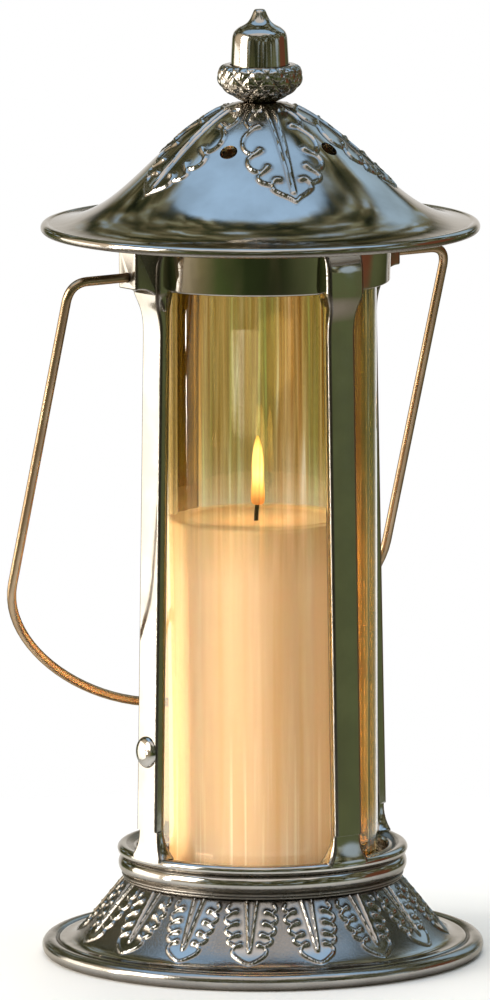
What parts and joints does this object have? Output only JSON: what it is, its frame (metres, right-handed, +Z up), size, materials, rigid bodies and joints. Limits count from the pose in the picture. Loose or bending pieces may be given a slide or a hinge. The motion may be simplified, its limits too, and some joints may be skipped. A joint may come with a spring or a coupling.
{
  "type": "candle_lantern",
  "caption": "Cast metal candle lantern with an amber glass cylinder, a lift-off vented roof with an acorn finial, and a wire bail that swings over the roof",
  "frame": {"origin": "centre of the base on the surface it stands on", "axes": "+Z up; +X towards the right bail post along the bail's pivot line; +Y towards the back post that the hanging bail rests on"},
  "size_m": [0.2448, 0.2272, 0.4876],
  "materials": {
    "cast_metal": "polished cast metal, darkened in the recesses",
    "bail_wire": "drawn wire, slightly darker than the castings",
    "steel": "plain fasteners and candle plate",
    "amber_glass": "clear amber glass with a soft lustre",
    "wax": null,
    "wick_cord": "charred cotton cord"
  },
  "bodies": {
    "frame": {"base": "cast_metal", "lower_ring": "cast_metal", "top_collar": "cast_metal", "post_left": "cast_metal", "post_front": "cast_metal", "post_right": "cast_metal", "post_back": "cast_metal", "foot_screw_left": "steel", "foot_screw_front": "steel", "foot_screw_right": "steel", "foot_screw_back": "steel", "collar_screw_left": "steel", "collar_screw_front": "steel", "collar_screw_right": "steel", "collar_screw_back": "steel", "post_button": "cast_metal", "candle_plate": "steel", "candle": "wax", "wick": "wick_cord"},
    "bail": {"bail_handle": "bail_wire"},
    "roof": {"roof": "cast_metal", "finial_cup": "cast_metal", "finial_acorn": "cast_metal", "finial_stud": "steel", "finial_washer": "steel", "finial_nut": "steel"},
    "glass": {"glass_chimney": "amber_glass"}
  },
  "joints": [
    {"name": "bail_swing", "type": "hinge", "parent": "frame", "child": "bail", "pos_m": [0, 0, 0.3565], "axis": [1, 0, 0], "range_deg": [0, 324]},
    {"name": "roof_lift", "type": "slide", "parent": "frame", "child": "roof", "axis": [0, 0, 1], "range_m": [0, 0.1]},
    {"name": "glass_lift", "type": "slide", "parent": "frame", "child": "glass", "axis": [0, 0, 1], "range_m": [0, 0.01]}
  ]
}
